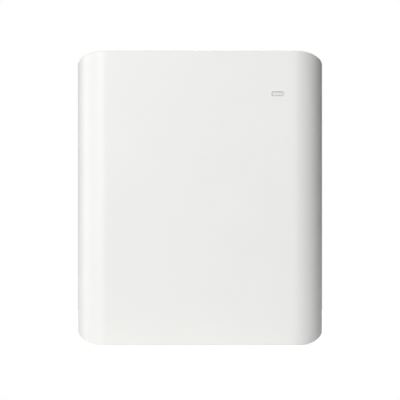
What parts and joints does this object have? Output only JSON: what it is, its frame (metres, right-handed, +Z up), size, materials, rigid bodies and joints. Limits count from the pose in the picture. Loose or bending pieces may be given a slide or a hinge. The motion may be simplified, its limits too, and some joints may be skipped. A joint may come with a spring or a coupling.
{
  "type": "wall battery unit",
  "caption": "Small wall-hung home battery: a white wrap-around cover with a status window over a steel housing with cells and electronics, hung on a wall bracket.",
  "frame": {"origin": "centre of the wall bracket's four wall holes, on the wall's plane", "axes": "+Z up, the front faces -Y, +Y points into the wall, +X is right seen from the front"},
  "size_m": [0.325, 0.22, 0.39],
  "materials": {
    "cover_plastic": "white moulded ABS blend, fine satin",
    "lens_plastic": "milky translucent polycarbonate",
    "clip_plastic": "natural acetal",
    "housing_steel": "light grey powder coat, fine texture",
    "lid_steel": "light grey powder coat, fine texture",
    "bracket_steel": "dark grey powder coat",
    "zinc_steel": "bright zinc plating",
    "stainless": "stainless, drawn",
    "black_aluminium": "black anodised extrusion",
    "bare_aluminium": "drawn aluminium",
    "gasket_rubber": "EPDM sponge",
    "bumper_rubber": "moulded rubber",
    "seal_rubber": "nitrile rubber",
    "cell_film": "blue insulating film",
    "separator_sheet": "off-white aramid sheet",
    "end_plate_resin": "glass-filled nylon, black",
    "tray_plastic": "black polypropylene",
    "nickel_copper": "nickel-plated copper",
    "bare_copper": "tinned copper, drawn",
    "shunt_brass": "machined brass",
    "board_green": "solder resist on glass-epoxy",
    "component_black": "black component bodies",
    "contactor_black": "thermoset, black",
    "fuse_base": "glass-filled polyester, beige",
    "fuse_ceramic": "glazed ceramic",
    "inverter_case": "grey anodised casting",
    "terminal_grey": "grey polyamide",
    "switch_black": "black polycarbonate",
    "switch_plate": "grey polycarbonate, fine texture",
    "knob_black": "black nylon, fine spark texture",
    "gland_nylon": "black polyamide",
    "button_plastic": "green button, satin",
    "standoff_nylon": "natural nylon",
    "lead_red": "silicone insulation, red",
    "lead_black": "silicone insulation, black"
  },
  "bodies": {
    "bracket": {"wall_bracket": "bracket_steel"},
    "unit": {"housing": "housing_steel", "housing_lid": "lid_steel", "lid_gasket": "gasket_rubber", "lid_screws": "stainless", "bay_divider": "housing_steel", "rear_heatsink": "black_aluminium", "heatsink_screws": "stainless", "hanger_rail": "zinc_steel", "hanger_screws": "stainless", "wall_bumpers": "bumper_rubber", "cell_1": "cell_film", "cell_2": "cell_film", "cell_3": "cell_film", "cell_4": "cell_film", "cell_5": "cell_film", "cell_6": "cell_film", "cell_7": "cell_film", "cell_8": "cell_film", "cell_separators": "separator_sheet", "end_plate_left": "end_plate_resin", "end_plate_right": "end_plate_resin", "tension_bands": "stainless", "cell_tray": "tray_plastic", "busbars": "nickel_copper", "terminal_nuts": "stainless", "sense_board": "board_green", "electronics_plate": "bare_aluminium", "bms_board": "board_green", "board_standoffs": "standoff_nylon", "bms_heatsink": "black_aluminium", "board_components": "component_black", "main_contactor": "contactor_black", "fuse_holder": "fuse_base", "dc_fuse": "fuse_ceramic", "link_bar": "bare_copper", "current_shunt": "shunt_brass", "microinverter": "inverter_case", "ac_terminal_block": "terminal_grey", "dc_lead_positive": "lead_red", "dc_lead_negative": "lead_black", "inverter_leads": "lead_red", "led_bracket": "zinc_steel", "status_board": "board_green", "isolator_body": "switch_black", "isolator_plate": "switch_plate", "cable_glands": "gland_nylon", "gland_nuts": "gland_nylon", "gland_seals": "seal_rubber", "gland_locknuts": "gland_nylon", "button_bezel": "zinc_steel", "button_switch": "switch_black", "earth_stud": "shunt_brass", "cover_studs": "clip_plastic"},
    "cover": {"front_cover": "cover_plastic", "status_lens": "lens_plastic", "cover_clips": "clip_plastic"},
    "knob": {"isolator_knob": "knob_black", "isolator_shaft": "stainless"},
    "button": {"wake_button": "button_plastic"}
  },
  "joints": [
    {"name": "unit_lift", "type": "slide", "parent": "bracket", "child": "unit", "axis": [0, 0, 1], "range_m": [0, 0.018]},
    {"name": "cover_pull", "type": "slide", "parent": "unit", "child": "cover", "axis": [0, -1, 0], "range_m": [0, 0.2]},
    {"name": "isolator_turn", "type": "hinge", "parent": "unit", "child": "knob", "pos_m": [0.15, -0.075, 0.108], "axis": [1, 0, 0], "range_deg": [0, 90]},
    {"name": "wake_press", "type": "slide", "parent": "unit", "child": "button", "axis": [0, 0, 1], "range_m": [0, 0.002], "stiffness_N_per_m": 400}
  ]
}
